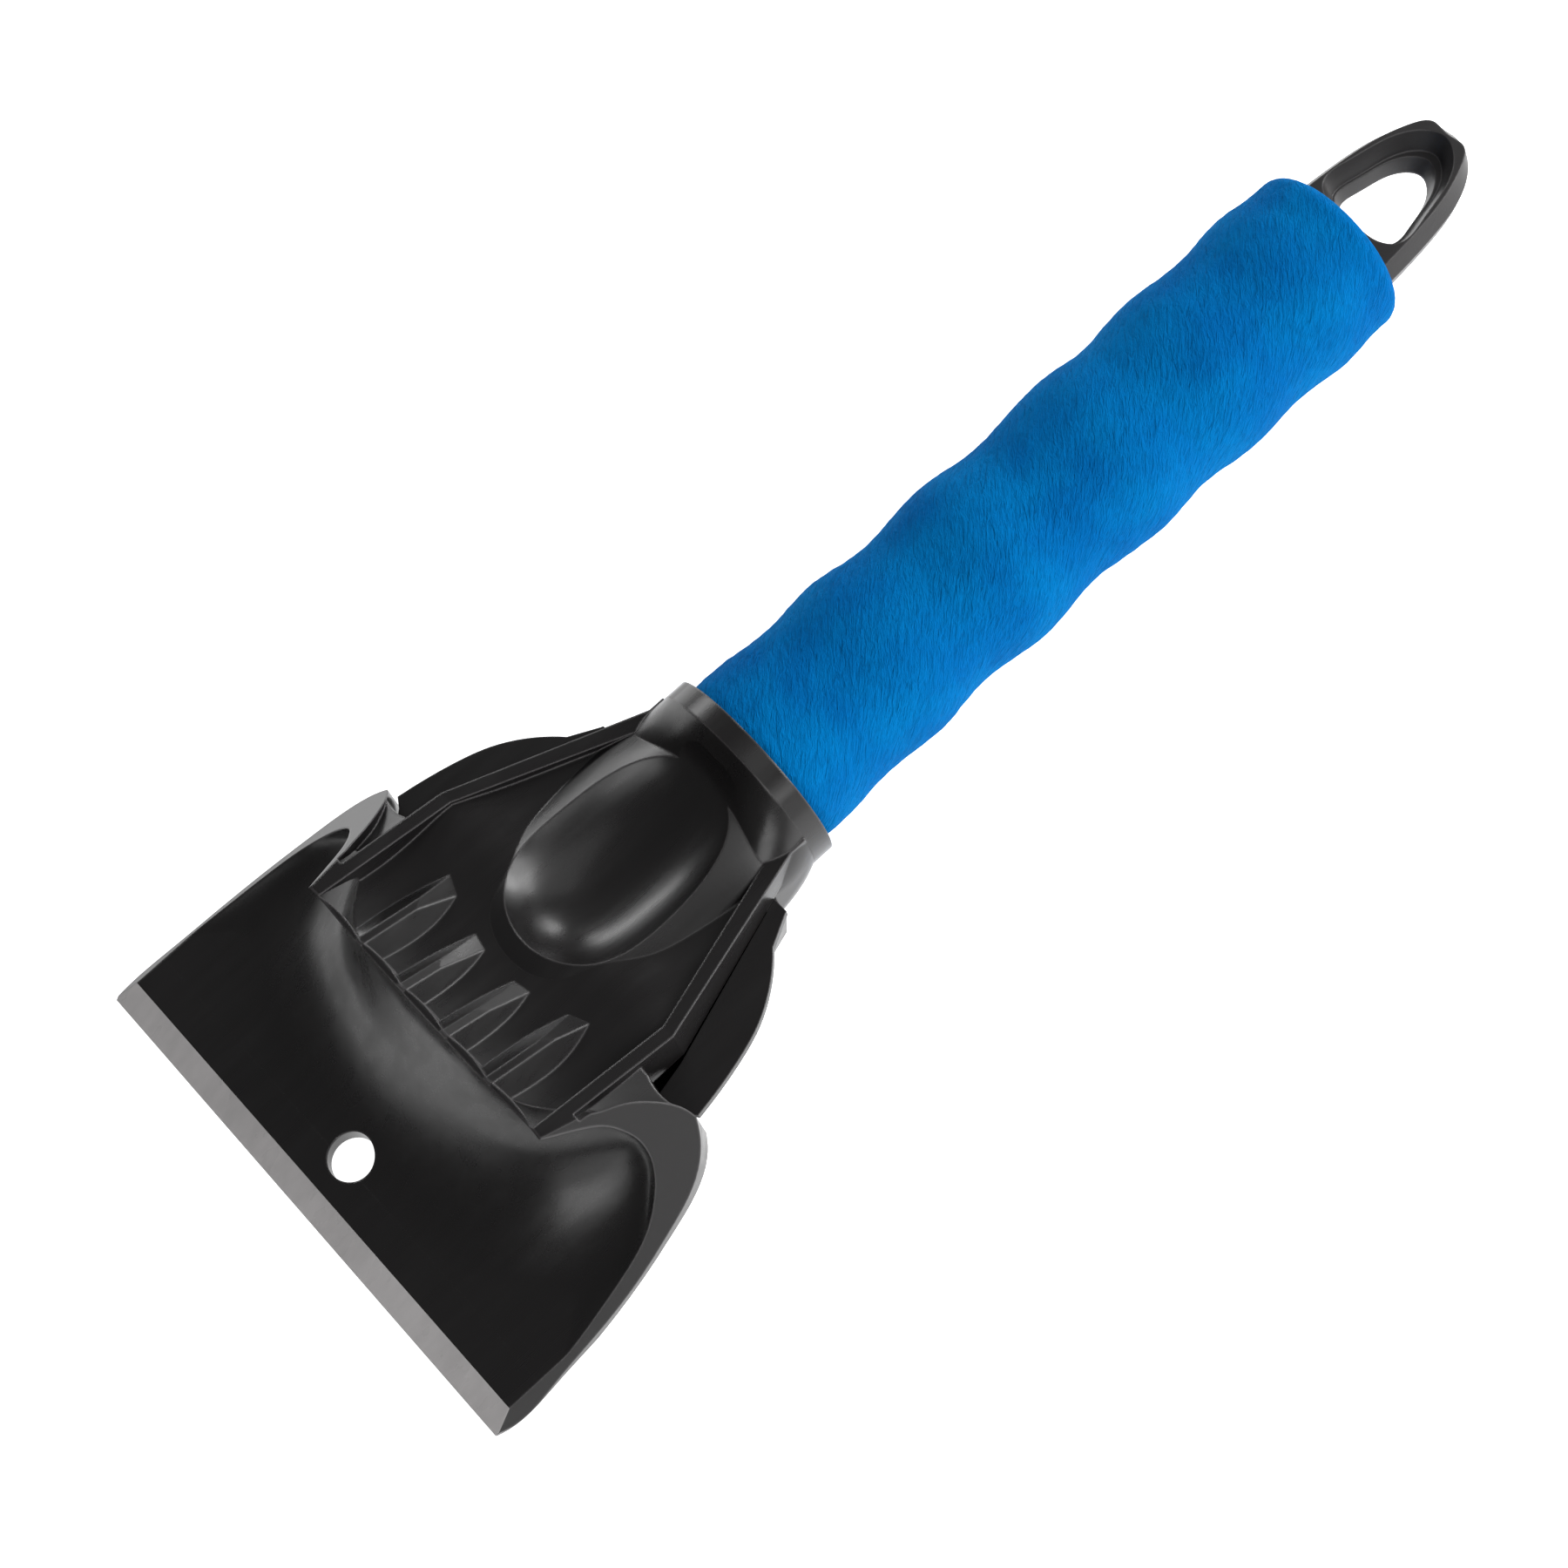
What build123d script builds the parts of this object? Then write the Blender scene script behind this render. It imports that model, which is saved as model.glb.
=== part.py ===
from build123d import *
import os

os.makedirs("parts", exist_ok=True)

# ---------------------------------------------------------------- driving dimensions, mm
# x runs from the blade's front edge (0) to the tip of the hanging loop, y across, and
# z is measured from the handle's axis. The part's own frame has its origin on the floor
# under the middle of the length, so the planes below carry that offset.
LENGTH = 288.0
BLADE_WIDTH = 110.0
COLLAR_RADIUS = 19.8
AXIS_HEIGHT = COLLAR_RADIUS
WALL = 2.6
FIT = 0.15

# sketches that cut right through reach this far aside, ahead and below
HALF_SPAN = 75.0
AHEAD = -15.0
UNDER = -20.0

# blade
BLADE_TOP = -9.3
BLADE_BOTTOM = -12.4
EDGE_TOP = -11.4
BEVEL_LENGTH = 5.0
HOLE_X = 13.0
HOLE_DIAMETER = 9.0

# head moulding
HEAD_TOP = 24.0
FLAT_END_X = 11.5
RIDGE_X = 39.3
RIDGE_Z = 18.4
SIDE_SLOPE = 1.25
SIDE_PLANE_Z = 58.0
SCOOP_REACH = 75.0
BLADE_END_X = 24.0
WING_END_X = 61.4
WING_END_LOW = -5.0
FLANGE_TOP = 1.7
RAIL_FRONT_Y = 31.9
RAIL_KINK_X, RAIL_KINK_Y, RAIL_KINK_Z = 67.5, 31.7, 11.7
RAIL_REAR_X, RAIL_REAR_Y, RAIL_REAR_Z = 105.0, 19.2, 6.3
RAIL_WIDTH = 2.7
RAIL_REAR_WIDTH = 3.4
NECK_X = 98.0
COLLAR_X = 108.2
COLLAR_END_X = 112.4
NECK_RADIUS = 19.7
GUSSET_START_X = 43.0
GUSSET_X = 59.9
GUSSET_SHEAR = 0.43
GUSSET_SINK = 0.1

# ribs behind the ridge
RIB_PITCH = 11.7
RIB_CREST = 1.6
RIB_DEPTH = 7.0
RIB_LEAD = 0.6
RIB_SINK = 0.06
RIB_LENGTH = 24.0
OUTER_CREST_END = (51.3, 14.1)
INNER_CREST_END = (46.9, 15.0)
OUTER_HIP_TURN = 24.0
INNER_HIP_TURN = 10.0
SCALLOP = 0.8

# hollow under the scooped surface
CAVITY_START_X = 27.0
CAVITY_END_X = 66.0
CAVITY_TOP = 11.5

# thumb rest: the mound it sits on and the hollow are both arcs swung about long axes
MOUND_AXIS_Z = -22.0
MOUND_CROWN_Z = 13.0
THUMB_FRONT_X, THUMB_FRONT_Z = 60.0, 11.9
THUMB_REAR_X, THUMB_REAR_Z = 103.5, 10.5
THUMB_BOTTOM_X, THUMB_BOTTOM_Z = 80.0, 4.2
THUMB_AXIS_Z = 25.5

# handle core and its tongue
TONGUE_X = 89.0
TONGUE_WIDTH = 22.0
TONGUE_LOW = -6.5
TONGUE_HIGH = 1.6
BOSS_X = 86.4
SHOULDER_X = 108.4
CORE_RADIUS = 11.0
CORE_BORE_RADIUS = 8.5
CORE_END_X = 251.0

# foam sleeve: x and radius at each swell and each hollow between swells
FOAM_START_X = 108.6
FOAM_END_X = 257.2
FOAM_SOCKET_RADIUS = 18.2
FOAM_PROFILE = [
    (114.8, 17.7), (130.2, 16.8), (141.0, 17.45), (154.0, 16.1), (167.3, 17.45),
    (180.6, 16.1), (197.0, 17.45), (207.6, 16.4), (220.4, 17.5), (231.6, 16.7), (243.0, 17.6),
]

# underplate
FLOOR_Z = -AXIS_HEIGHT
FLANGE = 1.8
TRAY_WALL = 2.4
NOTCH_GAP = 0.3
FLANGE_START_X = 50.0
TRAY_FRONT_X = 36.0
TRAY_END_X = 97.6

# hanging loop
LOOP_LOW = -3.7
LOOP_HIGH = 3.2
LEDGE_Z = -0.6
PLUG_X = 218.0
CAP_RADIUS = 13.2
CAP_THICKNESS = 3.6


def side_plane():
    """The x-z plane through the handle's axis."""
    return Plane(origin=(-LENGTH / 2, 0, AXIS_HEIGHT), x_dir=(1, 0, 0), z_dir=(0, -1, 0))


def level(z):
    """A horizontal plane, z above the handle's axis, with local x from the blade's edge."""
    return Plane(origin=(-LENGTH / 2, 0, AXIS_HEIGHT + z), x_dir=(1, 0, 0), z_dir=(0, 0, 1))


def station(x):
    """A plane square to the handle, with local x across and local y up from the axis."""
    return Plane(origin=(x - LENGTH / 2, 0, AXIS_HEIGHT), x_dir=(0, 1, 0), z_dir=(1, 0, 0))


def long_axis(z):
    """An axis along the handle, z above the handle's own axis."""
    return Axis((-LENGTH / 2, 0, AXIS_HEIGHT + z), (1, 0, 0))


def write(piece, label):
    piece.label = label
    export_step(piece, f"parts/{label}.step")


# ---------------------------------------------------------------- shared outlines
# Half of the plan outline of the blade and one upturned wing.
wing_side = [(0, 55.0), (3, 55.8), (14, 55.4), (26, 54.3), (38, 52.6), (46, 50.9), (53, 49.0), (58, 46.4)]
wing_corner = (WING_END_X, 42.6)
wing_rear = [(60.2, 40.0), (57, 37.2), (53, 35.1), (49, 33.8), (46, 33.2)]

# Plan outline of the body between the two rails.
rail_outline = [
    (RIDGE_X, 0), (RIDGE_X, RAIL_FRONT_Y), (RAIL_KINK_X, RAIL_KINK_Y),
    (RAIL_REAR_X, RAIL_REAR_Y), (COLLAR_X, RAIL_REAR_Y), (COLLAR_X, 0),
]
# Half of the plan outline of the underplate's flange, and its front edge behind the wing.
flange_side = [
    (62.0, 41.7), (66.0, 41.0), (74.0, 39.1), (80.0, 37.0), (86.0, 33.4), (91.5, 28.2),
]
flange_front = [(FLANGE_START_X, 0), (FLANGE_START_X, 33.3), (57.4, 36.7), (60.7, 39.7)]

# Horizontal contours of the scooped blade surface: height, x on the centre line, the
# furthest point back (x, y), and x where the contour meets the slanted side plane.
scoop_contours = [
    (-9.34, 10.0, 25.0, 46.5, 17.0),
    (-9.1, 13.2, 27.2, 47.0, 19.6),
    (-8.0, 17.1, 31.6, 47.8, 25.6),
    (-6.3, 20.3, 37.6, 47.8, 33.6),
    (-3.0, 24.5, 45.2, 45.4, 43.2),
    (1.0, 28.4, 50.0, 42.4, 48.4),
    (6.0, 32.2, 52.0, 38.6, 51.3),
    (11.0, 35.3, 50.6, 35.6, 50.2),
    (15.0, 37.5, 46.2, 33.0, 45.7),
    (18.4, 38.7, 39.0, 30.4, 38.9),
    (22.0, 40.2, 37.4, 28.0, 37.4),
]

# Height of the pocket's floor between the rails, along the handle.
pocket_floor = [
    (37, 16.2), (45, 12.8), (53, 10.7), (60, 10.6), (66.5, 10.9), (74, 9.2), (88, 7.0), (106, 4.6),
]

# Sections of the neck: x, half width, top, bottom and corner radius.
neck_sections = [
    (NECK_X, 21.0, 7.0, -13.0, 6.5),
    (103.2, 20.8, 11.8, -16.0, 12.4),
    (COLLAR_X, NECK_RADIUS, NECK_RADIUS, -NECK_RADIUS, NECK_RADIUS - 0.05),
]


# ---------------------------------------------------------------- cutters for the head
with BuildPart() as scoop:
    for z, middle_x, back_x, back_y, side_x in scoop_contours:
        side_y = (SIDE_PLANE_Z - z) / SIDE_SLOPE
        bend = back_x - middle_x
        half = [
            (middle_x, 0),
            (middle_x + 0.12 * bend, 0.42 * back_y),
            (middle_x + 0.5 * bend, 0.76 * back_y),
            (back_x, back_y),
            (side_x, side_y),
            (side_x - 9, SCOOP_REACH),
        ]
        other_half = [(x, -y) for x, y in half[:0:-1]]
        with BuildSketch(level(z)):
            with BuildLine():
                contour = Spline(*other_half, *half)
                Polyline(contour @ 1, (AHEAD, SCOOP_REACH), (AHEAD, -SCOOP_REACH), contour @ 0)
            make_face()
    loft()

with BuildPart() as flat_front:
    with BuildSketch(side_plane()):
        Polygon(
            (AHEAD, HEAD_TOP + 1), (AHEAD, EDGE_TOP - 4), (0, EDGE_TOP), (BEVEL_LENGTH, BLADE_TOP),
            (FLAT_END_X, BLADE_TOP - 0.05), (FLAT_END_X, HEAD_TOP + 1), align=None,
        )
    extrude(amount=HALF_SPAN, both=True)

with BuildPart() as pocket:
    with BuildSketch(side_plane()):
        with BuildLine():
            floor = Spline(*pocket_floor)
            front_x, rear_x = pocket_floor[0][0], pocket_floor[-1][0]
            Polyline(floor @ 1, (rear_x, HEAD_TOP), (front_x, HEAD_TOP), floor @ 0)
        make_face()
    extrude(amount=40, both=True)
    with BuildSketch(level(-5)):
        with BuildLine():
            cusps = [(RIDGE_X, RIB_PITCH * (row - 2.5)) for row in range(6)]
            for near, far in zip(cusps, cusps[1:]):
                ThreePointArc(near, (RIDGE_X + SCALLOP, (near[1] + far[1]) / 2), far)
            side = cusps[-1][1]
            inner = [
                (RIDGE_X, side), (RAIL_KINK_X, RAIL_KINK_Y - RAIL_WIDTH),
                (RAIL_REAR_X, RAIL_REAR_Y - RAIL_REAR_WIDTH),
            ]
            Polyline(*inner, *[(x, -y) for x, y in inner[::-1]])
        make_face()
    extrude(amount=40, mode=Mode.INTERSECT)

with BuildPart() as thumb_hollow:
    with BuildSketch(side_plane()):
        with BuildLine():
            dish = Spline(
                (THUMB_FRONT_X - 2.4, THUMB_FRONT_Z + 3.4), (THUMB_FRONT_X, THUMB_FRONT_Z),
                (66.5, 6.7), (THUMB_BOTTOM_X, THUMB_BOTTOM_Z), (93.5, 5.6),
                (THUMB_REAR_X, THUMB_REAR_Z), (THUMB_REAR_X + 2.4, THUMB_REAR_Z + 4.4),
            )
            Line(dish @ 1, (THUMB_REAR_X + 2.4, THUMB_AXIS_Z))
            Line((THUMB_REAR_X + 2.4, THUMB_AXIS_Z), (THUMB_FRONT_X - 2.4, THUMB_AXIS_Z))
            Line((THUMB_FRONT_X - 2.4, THUMB_AXIS_Z), dish @ 0)
        make_face()
    revolve(axis=long_axis(THUMB_AXIS_Z))


# ---------------------------------------------------------------- head
with BuildPart() as head:
    # blade and wings, under the two slanted side planes
    with BuildSketch(level(-16)):
        with BuildLine():
            Spline(*wing_side, wing_corner)
            Spline(wing_corner, *wing_rear, tangents=[(-0.15, -1), (-1, -0.05)])
            Line(wing_rear[-1], (46, 0))
            Line((46, 0), (0, 0))
            Line((0, 0), wing_side[0])
        make_face()
        mirror(about=Plane.XZ)
    extrude(amount=16 + HEAD_TOP)
    with BuildSketch(side_plane()):
        Polygon(
            (-2, BLADE_BOTTOM), (BLADE_END_X, BLADE_BOTTOM), (WING_END_X + 2, WING_END_LOW),
            (WING_END_X + 2, HEAD_TOP), (-2, HEAD_TOP), align=None,
        )
    extrude(amount=HALF_SPAN, both=True, mode=Mode.INTERSECT)
    # body between the rails
    with BuildSketch(level(FLANGE_TOP)):
        with BuildLine():
            Polyline(*rail_outline, close=True)
        make_face()
        mirror(about=Plane.XZ)
    extrude(amount=HEAD_TOP - FLANGE_TOP)
    with BuildSketch(station(-2)):
        low_y = (SIDE_PLANE_Z - UNDER) / SIDE_SLOPE
        high_y = (SIDE_PLANE_Z - HEAD_TOP) / SIDE_SLOPE
        Polygon((-low_y, UNDER), (low_y, UNDER), (high_y, HEAD_TOP), (-high_y, HEAD_TOP), align=None)
    extrude(amount=COLLAR_END_X, mode=Mode.INTERSECT)
    with BuildSketch(side_plane()):
        Polygon(
            (-2, UNDER), (COLLAR_X, UNDER), (COLLAR_X, RAIL_REAR_Z), (RAIL_REAR_X, RAIL_REAR_Z),
            (RAIL_KINK_X, RAIL_KINK_Z), (RIDGE_X, RIDGE_Z), (-2, RIDGE_Z), align=None,
        )
    extrude(amount=HALF_SPAN, both=True, mode=Mode.INTERSECT)
    add(pocket.part, mode=Mode.SUBTRACT)


# Concave web that fills the corner between a wing's rear edge and the rail's outer wall.
with BuildPart() as gusset:
    with BuildSketch(side_plane()):
        with BuildLine():
            crest = ThreePointArc((GUSSET_START_X, 29.6), (51.5, 26.6), (GUSSET_X, 25.1))
            Polyline(crest @ 1, (GUSSET_X, FLANGE_TOP), (GUSSET_START_X, FLANGE_TOP), crest @ 0)
        make_face()
    extrude(amount=HALF_SPAN, dir=(0, 1, -GUSSET_SHEAR))
    with BuildSketch(level(FLANGE_TOP)):
        with BuildLine():
            rear = ThreePointArc((GUSSET_X, 33.5), (59.3, 37.2), (60.2, 40.4))
            Polyline(
                rear @ 1, (58.0, 41.5), (GUSSET_START_X, 36.0), (GUSSET_START_X, RAIL_FRONT_Y - 1),
                (GUSSET_X + 1, RAIL_FRONT_Y - 1), rear @ 0,
            )
        make_face()
    extrude(amount=HEAD_TOP, mode=Mode.INTERSECT)
    with BuildSketch(station(GUSSET_START_X - 1)):
        crown_z = SIDE_PLANE_Z - GUSSET_SINK
        outer = [((crown_z - z) / SIDE_SLOPE, z) for z in (UNDER, HEAD_TOP)]
        Polygon((0, UNDER), *outer, (0, HEAD_TOP), align=None)
    extrude(amount=WING_END_X, mode=Mode.INTERSECT)
    mirror(about=Plane.XZ)


def rib(row):
    """One rib behind the ridge: a flat-topped prism with a hipped rear end."""
    outer = abs(row) > 1
    crest_end_x, crest_end_z = OUTER_CREST_END if outer else INNER_CREST_END
    side = 1 if row > 0 else -1
    y = row * RIB_PITCH / 2
    drop = Vector(crest_end_x - RIDGE_X, 0, crest_end_z - RIDGE_Z)
    ridge = Vector(RIDGE_X - LENGTH / 2, y, AXIS_HEIGHT + RIDGE_Z - RIB_SINK)
    start = ridge - drop.normalized() * RIB_LEAD
    hip_turn = OUTER_HIP_TURN if outer else INNER_HIP_TURN
    hip = Plane(
        origin=ridge + drop,
        x_dir=Vector(0, 1, 0).rotate(Axis.Z, side * -hip_turn),
        z_dir=Vector(0.5, 0, 0.87).rotate(Axis.Z, side * -hip_turn),
    )
    with BuildPart() as one:
        with BuildSketch(Plane(origin=start, x_dir=(0, 1, 0), z_dir=drop)):
            half = RIB_CREST / 2
            Polygon(
                (-half, 0), (half, 0), (half + RIB_DEPTH, -RIB_DEPTH), (-half - RIB_DEPTH, -RIB_DEPTH),
                align=None,
            )
        extrude(amount=RIB_LENGTH)
        split(bisect_by=hip, keep=Keep.BOTTOM)
    return one.part


with BuildPart() as mound:
    with BuildSketch(side_plane()):
        with BuildLine():
            crown = Spline(
                (52, 8.0), (THUMB_FRONT_X, THUMB_FRONT_Z), (82, MOUND_CROWN_Z),
                (THUMB_REAR_X, 10.8), (108, 9.0),
            )
            Line(crown @ 1, (108, MOUND_AXIS_Z))
            Line((108, MOUND_AXIS_Z), (52, MOUND_AXIS_Z))
            Line((52, MOUND_AXIS_Z), crown @ 0)
        make_face()
    revolve(axis=long_axis(MOUND_AXIS_Z))
    with BuildSketch(level(FLANGE_TOP)):
        with BuildLine():
            Polyline(*rail_outline, close=True)
        make_face()
        mirror(about=Plane.XZ)
    extrude(amount=HEAD_TOP, mode=Mode.INTERSECT)

# Neck that flares from between the rails to the collar.
with BuildPart() as neck:
    for x, half_width, top, bottom, corner in neck_sections:
        with BuildSketch(station(x)):
            with Locations((0, (top + bottom) / 2)):
                RectangleRounded(2 * half_width, top - bottom, corner)
    loft()

# Hollow under the head, one wall's thickness from the scooped surface.
with BuildPart() as cavity:
    with BuildSketch(side_plane()):
        Polygon(
            (CAVITY_START_X, UNDER), (CAVITY_START_X, CAVITY_TOP), (42.0, CAVITY_TOP), (53.0, 7.8),
            (63.0, 7.6), (CAVITY_END_X, FLANGE_TOP), (CAVITY_END_X, UNDER), align=None,
        )
    extrude(amount=RAIL_FRONT_Y - WALL, both=True)
    add(scoop.part.moved(Location((WALL, 0, -1))), mode=Mode.SUBTRACT)

ribs = [rib(row) for row in (-3, -1, 1, 3)]

with BuildPart() as scraper_head:
    add(head.part)
    add(ribs)
    add(gusset.part)
    add(mound.part)
    add(neck.part)
    # collar ring
    with BuildSketch(station(COLLAR_X)):
        Circle(COLLAR_RADIUS)
    extrude(amount=COLLAR_END_X - COLLAR_X)
    # boss that holds the handle's tongue
    with BuildSketch(level(TONGUE_LOW - WALL)):
        with Locations(((BOSS_X + NECK_X + 2) / 2, 0)):
            Rectangle(NECK_X + 2 - BOSS_X, TONGUE_WIDTH + 2 * WALL)
    extrude(amount=FLANGE_TOP + 1 - TONGUE_LOW + WALL)
    add(cavity.part, mode=Mode.SUBTRACT)
    add(thumb_hollow.part, mode=Mode.SUBTRACT)
    add(scoop.part, mode=Mode.SUBTRACT)
    add(flat_front.part, mode=Mode.SUBTRACT)
    # hanging hole through the blade
    with BuildSketch(level(BLADE_BOTTOM - 2)):
        with Locations((HOLE_X, 0)):
            Circle(HOLE_DIAMETER / 2)
    extrude(amount=8, mode=Mode.SUBTRACT)
    # pocket for the tongue, and the socket that the foam's end tucks into
    with BuildSketch(station(TONGUE_X)):
        with Locations((0, (TONGUE_LOW + TONGUE_HIGH) / 2)):
            Rectangle(TONGUE_WIDTH + 2 * FIT, TONGUE_HIGH - TONGUE_LOW + 2 * FIT)
    extrude(amount=COLLAR_END_X - TONGUE_X, mode=Mode.SUBTRACT)
    with BuildSketch(station(SHOULDER_X)):
        Circle(FOAM_SOCKET_RADIUS)
    extrude(amount=COLLAR_END_X, mode=Mode.SUBTRACT)
write(scraper_head.part, "scraper_head")


# ---------------------------------------------------------------- underplate
def tray_form(inset, low):
    """The tray's tapered block, inset from its outer walls, down to the height low."""
    front, back = BLADE_END_X + inset, TRAY_END_X - inset
    with BuildPart() as form:
        for z, taper in ((FLANGE_TOP, 0.0), (low, 5.0)):
            shrink = inset + taper
            half = [(front, 43 - shrink), (44, 40 - shrink), (66, 35 - shrink), (back, 25 - shrink)]
            other_half = [(x, -y) for x, y in half[::-1]]
            with BuildSketch(level(z)):
                Polygon(*half, *other_half, align=None)
        loft()
    return form.part


tray_block = tray_form(0, FLOOR_Z)
tray_room = tray_form(TRAY_WALL, FLOOR_Z + TRAY_WALL)

with BuildPart() as tray_inside:
    add(tray_room)
    with BuildSketch(side_plane()):
        Polygon(
            (33.0, 6), (33.0, -12.6), (TRAY_FRONT_X + 2, FLOOR_Z + TRAY_WALL),
            (TRAY_END_X, FLOOR_Z + TRAY_WALL), (TRAY_END_X, 6), align=None,
        )
    extrude(amount=HALF_SPAN, both=True, mode=Mode.INTERSECT)

with BuildPart() as head_underplate:
    add(tray_block)
    with BuildSketch(side_plane()):
        Polygon(
            (BLADE_END_X, BLADE_BOTTOM), (WING_END_X + 2, WING_END_LOW), (WING_END_X + 2, FLANGE_TOP),
            (TRAY_END_X, FLANGE_TOP), (TRAY_END_X, FLOOR_Z), (TRAY_FRONT_X, FLOOR_Z), align=None,
        )
    extrude(amount=HALF_SPAN, both=True, mode=Mode.INTERSECT)
    # flange that shows outside the rails
    with BuildSketch(level(FLANGE_TOP - FLANGE)):
        with BuildLine():
            rim = Spline(*flange_side)
            Polyline(rim @ 1, (TRAY_END_X, 24.9), (TRAY_END_X, 0), *flange_front, rim @ 0)
        make_face()
        mirror(about=Plane.XZ)
    extrude(amount=FLANGE)
    add(tray_inside.part, mode=Mode.SUBTRACT)
    # notch that clears the tongue's boss
    with BuildSketch(station(BOSS_X - 2)):
        with Locations((0, 0)):
            Rectangle(TONGUE_WIDTH + 2 * WALL + 2 * NOTCH_GAP, 2 * (WALL - TONGUE_LOW + NOTCH_GAP))
    extrude(amount=40, mode=Mode.SUBTRACT)
write(head_underplate.part, "head_underplate")


# ---------------------------------------------------------------- handle core
with BuildPart() as handle_core:
    with BuildSketch(station(SHOULDER_X + FIT)):
        Circle(CORE_RADIUS)
    extrude(amount=CORE_END_X - SHOULDER_X - FIT)
    with BuildSketch(station(SHOULDER_X + 6)):
        Circle(CORE_BORE_RADIUS)
    extrude(amount=CORE_END_X, mode=Mode.SUBTRACT)
    with BuildSketch(station(TONGUE_X + FIT)):
        with Locations((0, (TONGUE_LOW + TONGUE_HIGH) / 2)):
            Rectangle(TONGUE_WIDTH, TONGUE_HIGH - TONGUE_LOW)
    extrude(amount=SHOULDER_X - TONGUE_X)
    chamfer(handle_core.edges().filter_by(Axis.Z).group_by(Axis.X)[0], 1.5)
write(handle_core.part, "handle_core")


# ---------------------------------------------------------------- hanging loop
def loop_outline(offset):
    """Half of the loop's plan outline, drawn in by the offset."""
    return [
        (CORE_END_X + 1, 13.2 - offset), (262, 12.7 - offset), (270, 11.9 - offset),
        (277, 10.6 - offset), (282.5, 8.3 - offset * 0.8), (286.3, 4.9 - offset * 0.55),
    ]


def loop_face(z, offset):
    """The loop's outline on one level, drawn in by the offset."""
    half = loop_outline(offset)
    other_half = [(x, -y) for x, y in half[::-1]]
    with BuildSketch(level(z)) as outline:
        with BuildLine():
            edge = Spline(*half, (LENGTH - offset, 0), *other_half)
            Line(edge @ 1, edge @ 0)
        make_face()
    return outline.sketch


def loop_hole(z, half_width, start_x, end_x):
    """The hole's rounded outline on one level."""
    length = end_x - start_x
    half = [
        (start_x, 0), (start_x + 0.4, half_width * 0.6), (start_x + 0.11 * length, half_width * 0.97),
        (start_x + 0.4 * length, half_width * 0.94), (start_x + 0.72 * length, half_width * 0.74),
        (start_x + 0.92 * length, half_width * 0.42), (end_x, 0),
    ]
    other_half = [(x, -y) for x, y in half[-2:0:-1]]
    with BuildSketch(level(z)) as outline:
        with BuildLine():
            Spline(*half, *other_half, periodic=True)
        make_face()
    return outline.sketch


loop_middle = loop_face(0, 0)
loop_halves = [
    [loop_face(LOOP_LOW, 0.9), loop_middle],
    [loop_middle, loop_face(LOOP_HIGH, 1.9)],
]
hole_halves = [
    [loop_hole(LEDGE_Z, 7.9, 261.6, 283.0), loop_hole(LOOP_HIGH + 0.2, 9.9, 260.8, 285.6)],
    [loop_hole(LOOP_LOW - 0.2, 6.4, 262.6, 279.2), loop_hole(LEDGE_Z, 7.4, 262.0, 281.4)],
]

with BuildPart() as hang_loop:
    for half in loop_halves:
        loft(sections=half)
    # cap that closes the foam's end, and the plug inside the core
    with BuildSketch(station(CORE_END_X)):
        Circle(CAP_RADIUS)
    extrude(amount=CAP_THICKNESS)
    with BuildSketch(station(PLUG_X)):
        Circle(CORE_BORE_RADIUS - FIT)
    extrude(amount=CORE_END_X - PLUG_X)
    for half in hole_halves:
        loft(sections=half, mode=Mode.SUBTRACT)
write(hang_loop.part, "hang_loop")


# ---------------------------------------------------------------- foam sleeve
with BuildPart() as foam_grip:
    with BuildSketch(side_plane()):
        with BuildLine():
            swells = Spline((FOAM_START_X, 17.2), *FOAM_PROFILE, (251.6, 16.4), (255.8, 14.9))
            Polyline(
                swells @ 1, (FOAM_END_X, CAP_RADIUS + FIT), (CORE_END_X, CAP_RADIUS + FIT),
                (CORE_END_X, CORE_RADIUS), (FOAM_START_X, CORE_RADIUS), swells @ 0,
            )
        make_face()
    revolve(axis=long_axis(0))
write(foam_grip.part, "foam_grip")
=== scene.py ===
import math

import bmesh
import bpy
from mathutils import Matrix, Vector, noise


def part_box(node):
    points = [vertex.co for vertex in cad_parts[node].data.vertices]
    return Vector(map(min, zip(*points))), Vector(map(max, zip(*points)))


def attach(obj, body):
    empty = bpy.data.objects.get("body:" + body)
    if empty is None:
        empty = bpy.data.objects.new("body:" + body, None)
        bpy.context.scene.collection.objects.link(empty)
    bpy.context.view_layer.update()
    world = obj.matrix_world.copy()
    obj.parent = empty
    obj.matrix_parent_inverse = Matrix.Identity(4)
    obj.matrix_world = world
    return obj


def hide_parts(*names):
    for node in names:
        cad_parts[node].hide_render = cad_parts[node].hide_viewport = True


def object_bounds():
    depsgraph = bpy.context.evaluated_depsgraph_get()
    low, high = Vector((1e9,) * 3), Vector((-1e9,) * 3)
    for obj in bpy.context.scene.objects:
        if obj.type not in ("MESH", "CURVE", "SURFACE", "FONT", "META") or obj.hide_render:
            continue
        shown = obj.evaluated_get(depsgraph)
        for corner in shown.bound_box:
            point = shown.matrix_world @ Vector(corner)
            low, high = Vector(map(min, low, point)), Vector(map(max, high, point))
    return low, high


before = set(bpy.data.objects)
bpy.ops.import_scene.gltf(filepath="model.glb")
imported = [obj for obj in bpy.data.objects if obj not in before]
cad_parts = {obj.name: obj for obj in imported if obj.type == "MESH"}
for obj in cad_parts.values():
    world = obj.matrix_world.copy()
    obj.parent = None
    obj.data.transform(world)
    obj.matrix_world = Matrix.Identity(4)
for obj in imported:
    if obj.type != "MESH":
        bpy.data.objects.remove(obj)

cad_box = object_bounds()

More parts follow.
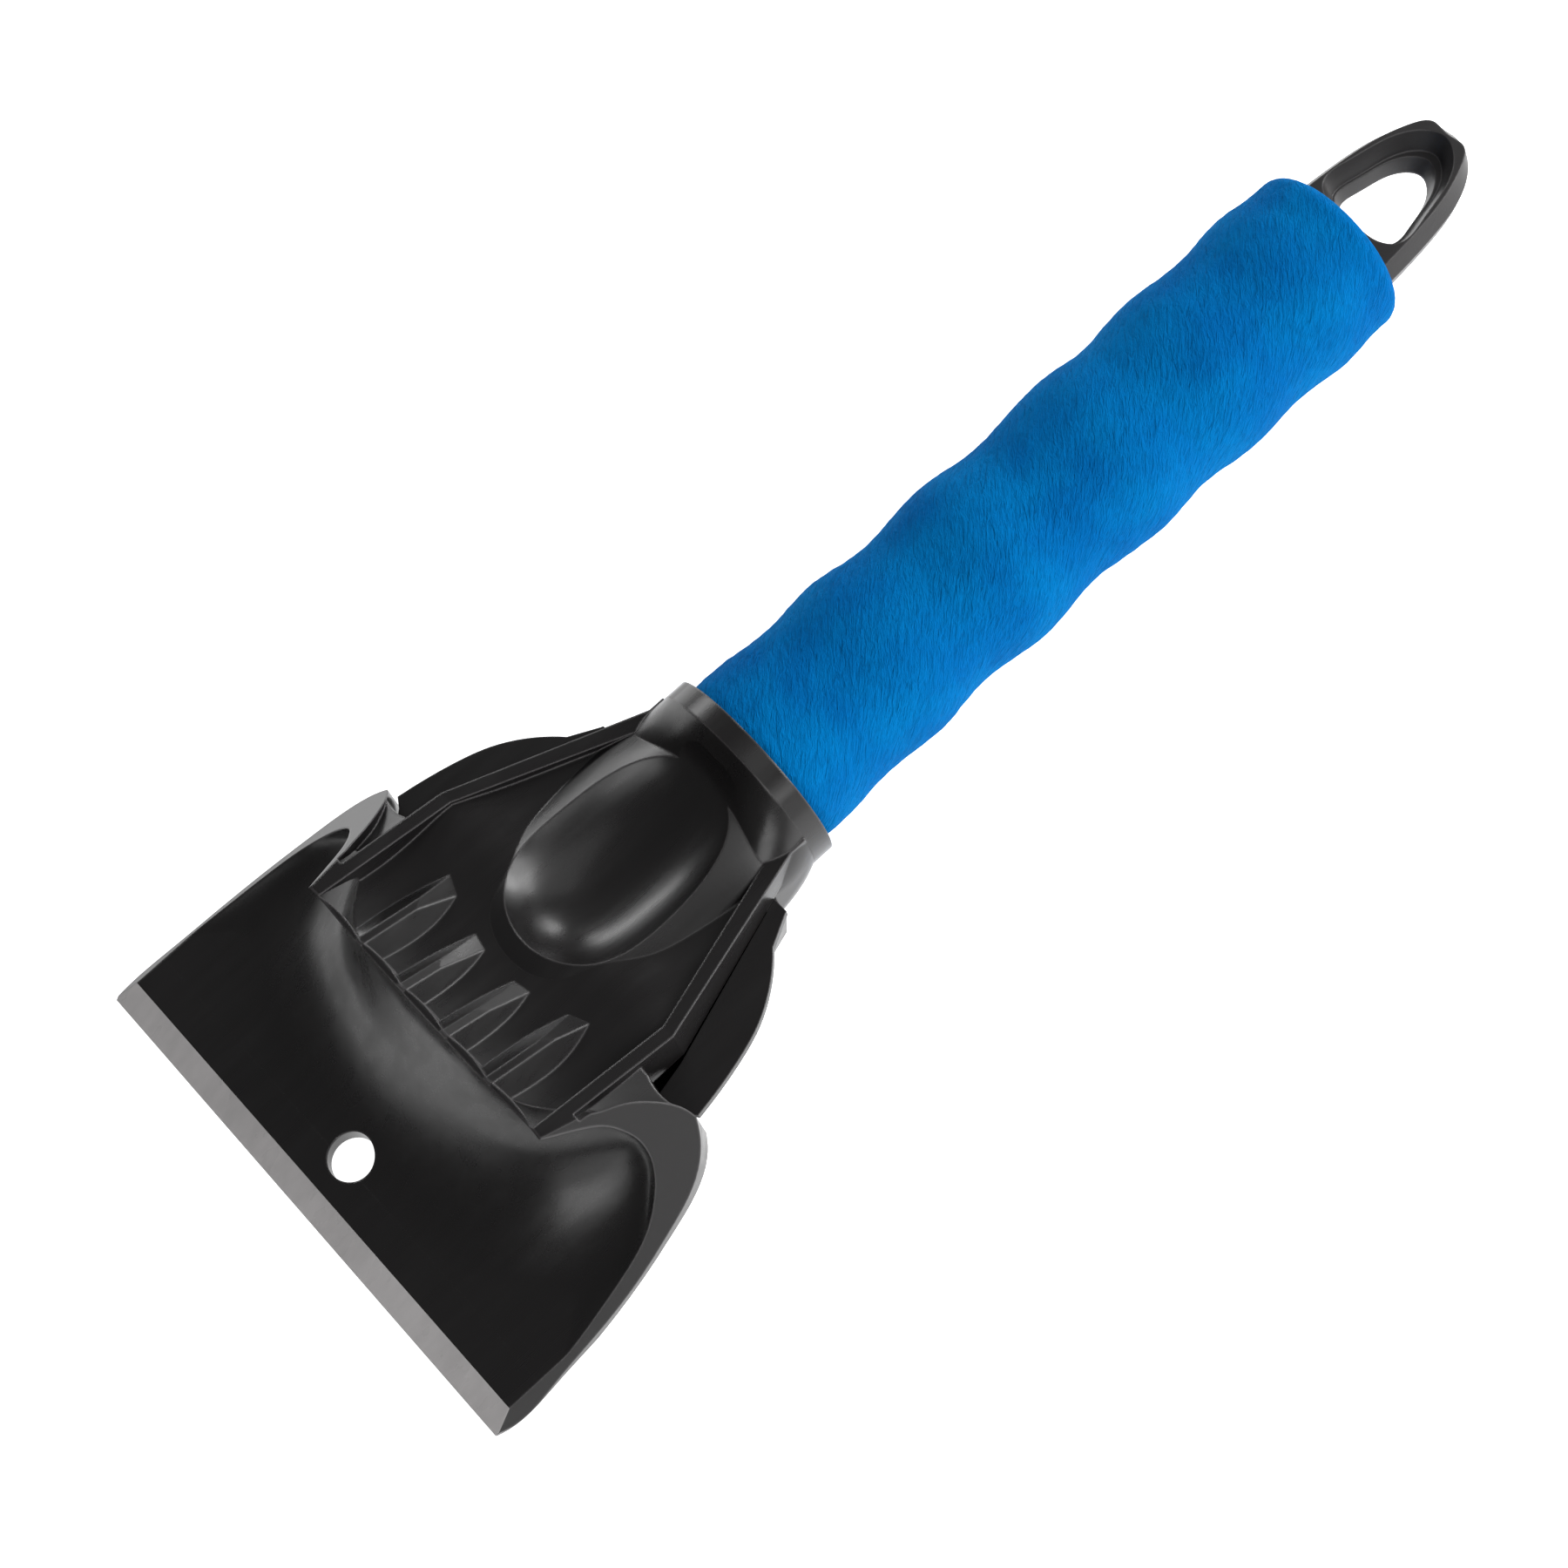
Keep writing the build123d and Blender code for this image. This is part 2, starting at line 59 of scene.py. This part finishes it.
MM = 0.001
FOAM_LOW, FOAM_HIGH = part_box("foam_grip")
CORE_LOW, CORE_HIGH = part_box("handle_core")
BLADE_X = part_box("scraper_head")[0].x
AXIS_Z = (CORE_LOW.z + CORE_HIGH.z) / 2

# ---------------------------------------------------------------- camera
LENS = 79.85
SENSOR = 36.0
CAMERA_DISTANCE = 0.618
TILT_BACK = math.radians(22.0)
TILT_SIDE = math.radians(7.87)
CAMERA_ROLL = math.radians(-45.261)
CAMERA_TARGET = Vector((BLADE_X + 0.11349, -0.00619, AXIS_Z))

# ---------------------------------------------------------------- light and floor
FLOOR_COLOUR = (0.80, 0.80, 0.80, 1)
FLOOR_GLOW = 1.15
FLOOR_SIZE = 30.0
FLOOR_DROP = 0.0002
FLOOR_ROUGHNESS = 0.9
FLOOR_SPECULAR = 0.1
WORLD_STRENGTH = 0.14
# name, direction from the object, distance, width, height, watts
SOFTBOXES = [
    ("fill", (0.70, -0.50, 0.50), 1.40, 0.80, 0.60, 11.0),
    ("low_right", (0.88, -0.42, 0.25), 1.30, 0.36, 0.26, 4.5),
    ("rear", (0.82, 0.37, 0.46), 1.30, 0.30, 0.30, 3.0),
    ("side", (0.20, 0.92, 0.36), 1.40, 0.90, 0.30, 6.0),
    ("strip", (0.05, -0.88, 0.46), 1.40, 0.60, 0.20, 2.0),
    ("top", (0.35, -0.30, 0.89), 1.50, 1.00, 1.00, 2.6),
    ("front", (-0.50, -0.66, 0.56), 1.30, 0.80, 0.60, 5.0),
]

# ---------------------------------------------------------------- foam sleeve
# distance from the blade's edge and radius, mm: each swell and each hollow in turn
FOAM_SWELLS = [
    ((FOAM_LOW.x - BLADE_X) / MM, 17.2), (114.8, 17.7), (130.2, 16.8), (141.0, 17.45),
    (154.0, 16.1), (167.3, 17.45), (180.6, 16.1), (197.0, 17.45), (207.6, 16.4),
    (220.4, 17.5), (231.6, 16.7), (243.0, 17.6), (251.0, 16.9),
]
FOAM_INNER_RADIUS = 11.0
FOAM_SEAT_RADIUS = 13.35
FOAM_SEAT_DEPTH = 6.2
FOAM_END_ROUND = 3.2
FOAM_END_RINGS = 10
FOAM_END_LIP = 0.4
FOAM_END_SMOOTH = 0.5
FOAM_RING_STEP = 0.40
FOAM_SEGMENTS = 260
LUMP_SIZE, LUMP_HEIGHT = 9.0, 0.20
RIPPLE_SIZE, RIPPLE_HEIGHT = 2.6, 0.07
WRINKLE_WIDTH, WRINKLE_LENGTH, WRINKLE_HEIGHT = 0.9, 2.2, 0.09
FELT_WIDTH, FELT_LENGTH = 0.55, 1.2
TWIST_RADIUS = 17.0

# ---------------------------------------------------------------- colours and textures
BLACK = (0.0072, 0.0066, 0.0068, 1)
# painted highlight: a lighter grey along moulded edges, for the bright lines they catch
EDGE_HIGHLIGHT_PAINT = (0.075, 0.071, 0.073, 1)
LOOP_BLACK = (0.015, 0.014, 0.0145, 1)
# painted highlight: pale grey on the blade's bevel, standing in for its bright reflection
BEVEL_HIGHLIGHT_PAINT = (0.50, 0.485, 0.485, 1)
FOAM_BLUE = (0.0, 0.155, 0.440, 1)
FOAM_DARK = (0.0, 0.120, 0.385, 1)
FOAM_SHEEN = (0.02, 0.45, 1.0, 1)
# directions of the textured faces on top of the wings and of the blade's bevel, and its length
WING_NORMAL = (0.0, 0.7809, 0.6247)
BEVEL_NORMAL = (-0.387, 0.0, 0.922)
BEVEL_LENGTH = 5.3
# sizes of the plastic's flow marks, grain and scuffs, mm
FLOW_SIZE, SPECK_SIZE, SCUFF_SIZE = 26.0, 0.5, 3.0
FLOW_STRETCH = (0.5, 1.0, 1.0)
SCUFF_STRETCH = (0.12, 1.0, 1.0)
FLOW_LIGHTER = 1.5
SCUFF_ROUGHNESS = 0.07
FLOW_HEIGHT = 0.25
PLASTIC_IOR = 1.5
BEVEL_SAMPLES = 6
# streaks and broad patches in the painted highlight on the bevel, mm
STREAK_SIZE, HIGHLIGHT_PATCH_SIZE = 2.5, 30.0
STREAK_STRETCH = (0.15, 1.0, 1.0)
# gloss and matte are roughness, grain is a height in mm and edge_mm the radius of edges, whose colour is a
# painted highlight
PLASTIC_LOOKS = {
    "scraper_head": dict(
        name="head_gloss_black", colour=BLACK, edge_highlight_colour=EDGE_HIGHLIGHT_PAINT,
        gloss=0.27, matte=0.44, grain=0.012, edge_mm=0.6, matte_normal=WING_NORMAL,
    ),
    "head_underplate": dict(
        name="underplate_black", colour=BLACK, edge_highlight_colour=EDGE_HIGHLIGHT_PAINT,
        gloss=0.34, matte=0.5, grain=0.02, edge_mm=0.35,
    ),
    "handle_core": dict(
        name="core_black", colour=BLACK, edge_highlight_colour=EDGE_HIGHLIGHT_PAINT,
        gloss=0.45, matte=0.5, grain=0.02, edge_mm=0.3,
    ),
    "hang_loop": dict(
        name="loop_satin_black", colour=LOOP_BLACK, edge_highlight_colour=EDGE_HIGHLIGHT_PAINT,
        gloss=0.40, matte=0.5, grain=0.03, edge_mm=0.5,
    ),
}
# the foam's patches of dye, mm, and how coarse its creases are beside its fibres
DYE_SIZE = 15.0
CREASE_COARSENESS = 2.2
FIBRE_DEPTH, CREASE_DEPTH = 0.24, 0.42


# ---------------------------------------------------------------- node helpers
def new_material(name):
    """A node material, its tree and its Principled shader."""
    material = bpy.data.materials.new(name)
    material.use_nodes = True
    tree = material.node_tree
    return material, tree, tree.nodes["Principled BSDF"]


def node(tree, kind, **values):
    """A node with its properties and its inputs' default values set."""
    made = tree.nodes.new(kind)
    for key, value in values.items():
        if key in made.inputs:
            made.inputs[key].default_value = value
        else:
            setattr(made, key, value)
    return made


def noise_at(tree, coords, size_mm, detail=3.0, stretch=None, distortion=0.0):
    """Noise with grains of one size, in object space."""
    source = coords
    if stretch is not None:
        mapping = node(tree, "ShaderNodeMapping")
        mapping.inputs["Scale"].default_value = stretch
        tree.links.new(coords, mapping.inputs["Vector"])
        source = mapping.outputs["Vector"]
    made = node(tree, "ShaderNodeTexNoise", Scale=1 / (size_mm * MM), Detail=detail, Distortion=distortion)
    tree.links.new(source, made.inputs["Vector"])
    return made.outputs["Fac"]


def ramp(tree, factor, low, high, at=(0.35, 0.65)):
    """A value or colour that turns from low to high as the factor passes the two stops."""
    made = node(tree, "ShaderNodeValToRGB")
    for element, place, colour in zip(made.color_ramp.elements, at, (low, high)):
        element.position = place
        element.color = colour if isinstance(colour, tuple) else (colour, colour, colour, 1)
    tree.links.new(factor, made.inputs["Fac"])
    return made.outputs["Color"]


def mix(tree, factor, low, high, kind="MIX"):
    """Two colours mixed by a factor that is a socket or a number."""
    made = node(tree, "ShaderNodeMix", data_type="RGBA", blend_type=kind)
    for socket, value in ((made.inputs[0], factor), (made.inputs[6], low), (made.inputs[7], high)):
        if isinstance(value, (float, int, tuple)):
            socket.default_value = value
        else:
            tree.links.new(value, socket)
    return made.outputs[2]


def bump(tree, height, distance_mm, strength=1.0, normal=None):
    """A bump of a height map, over another normal if one is given."""
    made = node(tree, "ShaderNodeBump", Strength=strength, Distance=distance_mm * MM)
    tree.links.new(height, made.inputs["Height"])
    if normal is not None:
        tree.links.new(normal, made.inputs["Normal"])
    return made.outputs["Normal"]


def edge_mask(tree, rounded):
    """1 along sharp edges, from how far the rounded normal leaves the face's own."""
    geometry = node(tree, "ShaderNodeNewGeometry")
    dot = node(tree, "ShaderNodeVectorMath", operation="DOT_PRODUCT")
    tree.links.new(rounded, dot.inputs[0])
    tree.links.new(geometry.outputs["Normal"], dot.inputs[1])
    return ramp(tree, dot.outputs["Value"], 1.0, 0.0, at=(0.86, 0.985))


# ---------------------------------------------------------------- materials
def facing_mask(tree, direction, absolute=False):
    """1 on the faces that point in one direction, or in any mirror image of it if absolute."""
    facing = node(tree, "ShaderNodeTexCoord").outputs["Normal"]
    if absolute:
        upright = node(tree, "ShaderNodeVectorMath", operation="ABSOLUTE")
        tree.links.new(facing, upright.inputs[0])
        facing = upright.outputs["Vector"]
    apart = node(tree, "ShaderNodeVectorMath", operation="DISTANCE")
    tree.links.new(facing, apart.inputs[0])
    apart.inputs[1].default_value = direction
    return ramp(tree, apart.outputs["Value"], 1.0, 0.0, at=(0.05, 0.10))


def bevel_highlight_mask(tree, coords):
    """Near 1 on the blade's bevel, which gets a pale painted highlight, streaked and patchy; 0 elsewhere.
    """
    split = node(tree, "ShaderNodeSeparateXYZ")
    tree.links.new(coords, split.inputs["Vector"])
    front = node(tree, "ShaderNodeMath", operation="LESS_THAN")
    tree.links.new(split.outputs["X"], front.inputs[0])
    front.inputs[1].default_value = BLADE_X + BEVEL_LENGTH * MM
    streaks = noise_at(tree, coords, STREAK_SIZE, detail=6.0, stretch=STREAK_STRETCH)
    broad = noise_at(tree, coords, HIGHLIGHT_PATCH_SIZE, detail=2.0)
    streaked = ramp(tree, streaks, 0.78, 1.0, at=(0.3, 0.7))
    patched = ramp(tree, broad, 0.7, 1.0)
    painted_highlight = mix(tree, 0.5, streaked, patched)
    facing = facing_mask(tree, BEVEL_NORMAL)
    bevel = mix(tree, 1.0, facing, front.outputs["Value"], kind="MULTIPLY")
    return mix(tree, 1.0, bevel, painted_highlight, kind="MULTIPLY")


def moulded_plastic(name, colour, edge_highlight_colour, gloss, matte, grain, edge_mm, matte_normal=None):
    """Injection-moulded plastic: rounded edges that catch the light, flow marks and fine grain.

    matte_normal is the direction of the faces that the mould gives a fine texture. Only the
    head has it, and then its bevel gets a pale painted highlight too. Along all edges the colour is
    lighter: a painted highlight.
    """
    material, tree, shader = new_material(name)
    coords = node(tree, "ShaderNodeTexCoord").outputs["Object"]
    rounded = node(tree, "ShaderNodeBevel", samples=BEVEL_SAMPLES, Radius=edge_mm * MM).outputs["Normal"]
    edges = edge_mask(tree, rounded)
    flow = noise_at(tree, coords, FLOW_SIZE, detail=4.0, stretch=FLOW_STRETCH, distortion=0.6)
    specks = noise_at(tree, coords, SPECK_SIZE, detail=2.0)
    scuffs = noise_at(tree, coords, SCUFF_SIZE, detail=6.0, stretch=SCUFF_STRETCH)

    lighter = tuple(c * FLOW_LIGHTER for c in colour[:3]) + (1,)
    body = mix(tree, flow, colour, lighter)
    # painted highlight: edges are lighter in colour, standing in for the light they catch
    painted_highlight = mix(tree, edges, body, edge_highlight_colour)
    if matte_normal is not None:
        # painted highlight: the bevel's pale grey stands in for the reflection it shows
        painted_highlight = mix(tree, bevel_highlight_mask(tree, coords), painted_highlight, BEVEL_HIGHLIGHT_PAINT)
    tree.links.new(painted_highlight, shader.inputs["Base Color"])

    roughness = ramp(tree, scuffs, gloss, gloss + SCUFF_ROUGHNESS, at=(0.4, 0.7))
    if matte_normal is not None:
        textured = facing_mask(tree, matte_normal, absolute=True)
        roughness = mix(tree, textured, roughness, (matte, matte, matte, 1))
    tree.links.new(roughness, shader.inputs["Roughness"])

    wave = bump(tree, flow, FLOW_HEIGHT, strength=0.25, normal=rounded)
    fine = bump(tree, specks, grain, strength=0.5, normal=wave)
    tree.links.new(fine, shader.inputs["Normal"])
    shader.inputs["IOR"].default_value = PLASTIC_IOR
    return material


def twisted(tree, coords):
    """Object coordinates turned about the handle's axis along it, so that grain follows a helix."""
    along = node(tree, "ShaderNodeSeparateXYZ")
    tree.links.new(coords, along.inputs["Vector"])
    angle = node(tree, "ShaderNodeMath", operation="MULTIPLY")
    angle.inputs[1].default_value = 1 / (TWIST_RADIUS * MM)
    tree.links.new(along.outputs["X"], angle.inputs[0])
    turned = node(tree, "ShaderNodeVectorRotate", rotation_type="X_AXIS", Center=(0, 0, AXIS_Z))
    tree.links.new(coords, turned.inputs["Vector"])
    tree.links.new(angle.outputs["Value"], turned.inputs["Angle"])
    return turned.outputs["Vector"]


def foam_rubber(name):
    """Soft closed-cell foam: felt-like short wrinkles, matte, a little uneven in its dye, and with painted
    shade in its creases.
    """
    material, tree, shader = new_material(name)
    coords = node(tree, "ShaderNodeTexCoord").outputs["Object"]
    helix = twisted(tree, coords)
    patches = noise_at(tree, coords, DYE_SIZE)
    stretch = (FELT_WIDTH / FELT_LENGTH, 1.0, 1.0)
    fibres = noise_at(tree, helix, FELT_WIDTH, detail=2.0, stretch=stretch, distortion=1.6)
    crease_width = CREASE_COARSENESS * FELT_WIDTH
    creases = noise_at(tree, helix, crease_width, detail=2.0, stretch=stretch, distortion=1.2)

    dyed = ramp(tree, patches, FOAM_DARK, FOAM_BLUE, at=(0.36, 0.62))
    # painted shade: the colour darkens in the bottoms of the creases
    painted_crease_shade = ramp(tree, creases, 0.86, 1.0, at=(0.36, 0.52))
    dye_with_crease_shade = mix(tree, 1.0, dyed, painted_crease_shade, kind="MULTIPLY")
    tree.links.new(dye_with_crease_shade, shader.inputs["Base Color"])
    shader.inputs["Roughness"].default_value = 0.92
    shader.inputs["Specular IOR Level"].default_value = 0.03
    shader.inputs["Sheen Weight"].default_value = 0.04
    shader.inputs["Sheen Roughness"].default_value = 0.45
    shader.inputs["Sheen Tint"].default_value = FOAM_SHEEN

    felt = bump(tree, fibres, FIBRE_DEPTH, strength=0.9)
    creased = bump(tree, creases, CREASE_DEPTH, normal=felt)
    tree.links.new(creased, shader.inputs["Normal"])
    return material


def pale_floor(name):
    """The plain pale surface under the object."""
    material, tree, shader = new_material(name)
    shader.inputs["Base Color"].default_value = FLOOR_COLOUR
    shader.inputs["Roughness"].default_value = FLOOR_ROUGHNESS
    shader.inputs["Specular IOR Level"].default_value = FLOOR_SPECULAR
    shader.inputs["Emission Color"].default_value = (1, 1, 1, 1)
    shader.inputs["Emission Strength"].default_value = FLOOR_GLOW
    return material


def dress(node_name, material):
    """Gives a CAD node its finished material."""
    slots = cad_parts[node_name].material_slots
    for slot in slots:
        slot.link = "OBJECT"
        slot.material = material


# ---------------------------------------------------------------- foam mesh
def swell_radius(x):
    """The sleeve's radius at a distance from the blade's edge, mm."""
    for (x0, r0), (x1, r1) in zip(FOAM_SWELLS, FOAM_SWELLS[1:]):
        if x <= x1:
            blend = (1 - math.cos(math.pi * (x - x0) / (x1 - x0))) / 2
            return r0 + (r1 - r0) * blend
    return FOAM_SWELLS[-1][1]


def foam_section():
    """Closed outline of the sleeve's wall: distance, radius and how rough the surface is there."""
    start = FOAM_SWELLS[0][0]
    end = (FOAM_HIGH.x - BLADE_X) / MM
    shoulder = end - FOAM_END_ROUND
    outline = []
    steps = int((shoulder - start) / FOAM_RING_STEP)
    for i in range(steps + 1):
        x = start + (shoulder - start) * i / steps
        outline.append((x, swell_radius(x), 1.0))
    top = outline[-1][1]
    for i in range(1, FOAM_END_RINGS + 1):
        turn = math.pi / 2 * i / FOAM_END_RINGS
        outline.append((
            shoulder + FOAM_END_ROUND * math.sin(turn),
            top - (top - FOAM_SEAT_RADIUS - FOAM_END_LIP) * (1 - math.cos(turn)),
            1.0 - FOAM_END_SMOOTH * i / FOAM_END_RINGS,
        ))
    outline.append((end, FOAM_SEAT_RADIUS, 0.0))
    outline.append((end - FOAM_SEAT_DEPTH, FOAM_SEAT_RADIUS, 0.0))
    outline.append((end - FOAM_SEAT_DEPTH, FOAM_INNER_RADIUS, 0.0))
    outline.append((start, FOAM_INNER_RADIUS, 0.0))
    return outline


def foam_relief(point):
    """Height of the foam's lumps, ripples and slanted wrinkles at a point, all in mm."""
    lump = noise.noise(point / LUMP_SIZE) * LUMP_HEIGHT
    ripple = noise.noise(point / RIPPLE_SIZE) * RIPPLE_HEIGHT
    helix = Matrix.Rotation(point.x / TWIST_RADIUS, 3, "X") @ point
    grain = Vector((helix.x / WRINKLE_LENGTH, helix.y / WRINKLE_WIDTH, helix.z / WRINKLE_WIDTH))
    return lump + ripple + noise.noise(grain) * WRINKLE_HEIGHT


def foam_sleeve():
    """The blue sleeve, as one closed mesh."""
    mesh = bmesh.new()
    rings = []
    for x, radius, rough in foam_section():
        ring = []
        for i in range(FOAM_SEGMENTS):
            turn = 2 * math.pi * i / FOAM_SEGMENTS
            out = Vector((0, math.cos(turn), math.sin(turn)))
            point = Vector((x, 0, 0)) + out * radius
            if rough > 0:
                point += out * foam_relief(point) * rough
            ring.append(mesh.verts.new((BLADE_X + point.x * MM, point.y * MM, AXIS_Z + point.z * MM)))
        rings.append(ring)
    for ring, next_ring in zip(rings, rings[1:] + rings[:1]):
        for i in range(FOAM_SEGMENTS):
            j = (i + 1) % FOAM_SEGMENTS
            face = mesh.faces.new((ring[i], ring[j], next_ring[j], next_ring[i]))
            face.smooth = True
    bmesh.ops.recalc_face_normals(mesh, faces=mesh.faces)
    data = bpy.data.meshes.new("foam_sleeve")
    mesh.to_mesh(data)
    mesh.free()
    sleeve = bpy.data.objects.new("foam_sleeve", data)
    bpy.context.scene.collection.objects.link(sleeve)
    data.materials.append(foam_rubber("grip_foam_blue"))
    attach(sleeve, "root")
    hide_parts("foam_grip")
    return sleeve


# ---------------------------------------------------------------- stage
def place_camera():
    """The camera, square to a view that leans back and to the side, then rolled."""
    back = Vector((
        -math.sin(TILT_SIDE),
        -math.sin(TILT_BACK) * math.cos(TILT_SIDE),
        math.cos(TILT_BACK) * math.cos(TILT_SIDE),
    ))
    level_up = (Vector((0, 1, 0)) - back * back.y).normalized()
    level_right = (-back).cross(level_up)
    right = level_right * math.cos(CAMERA_ROLL) + level_up * math.sin(CAMERA_ROLL)
    up = level_up * math.cos(CAMERA_ROLL) - level_right * math.sin(CAMERA_ROLL)
    data = bpy.data.cameras.new("camera")
    data.lens = LENS
    data.sensor_width = SENSOR
    camera = bpy.data.objects.new("camera", data)
    turn = Matrix((right, up, back)).transposed().to_4x4()
    camera.matrix_world = Matrix.Translation(CAMERA_TARGET + back * CAMERA_DISTANCE) @ turn
    bpy.context.scene.collection.objects.link(camera)
    bpy.context.scene.camera = camera


def softbox(name, direction, distance, width, height, watts):
    """A rectangular soft light that faces the middle of the object."""
    data = bpy.data.lights.new(name, "AREA")
    data.shape = "RECTANGLE"
    data.size = width
    data.size_y = height
    data.energy = watts
    lamp = bpy.data.objects.new(name, data)
    away = Vector(direction).normalized()
    lamp.location = Vector((0, 0, AXIS_Z)) + away * distance
    lamp.rotation_euler = away.to_track_quat("Z", "Y").to_euler()
    bpy.context.scene.collection.objects.link(lamp)


def light_stage():
    """Pale floor, even surroundings and the softboxes."""
    world = bpy.data.worlds.new("studio")
    world.use_nodes = True
    sky = world.node_tree.nodes["Background"]
    sky.inputs["Color"].default_value = (1, 1, 1, 1)
    sky.inputs["Strength"].default_value = WORLD_STRENGTH
    bpy.context.scene.world = world
    for settings in SOFTBOXES:
        softbox(*settings)
    half = FLOOR_SIZE / 2
    data = bpy.data.meshes.new("floor")
    corners = [(-half, -half), (half, -half), (half, half), (-half, half)]
    data.from_pydata([(x, y, cad_box[0][2] - FLOOR_DROP) for x, y in corners], [], [(0, 1, 2, 3)])
    floor = bpy.data.objects.new("floor", data)
    data.materials.append(pale_floor("floor_white"))
    bpy.context.scene.collection.objects.link(floor)
    bpy.context.scene.view_settings.view_transform = "Standard"


place_camera()
light_stage()
for part_name, look in PLASTIC_LOOKS.items():
    dress(part_name, moulded_plastic(**look))
foam_sleeve()
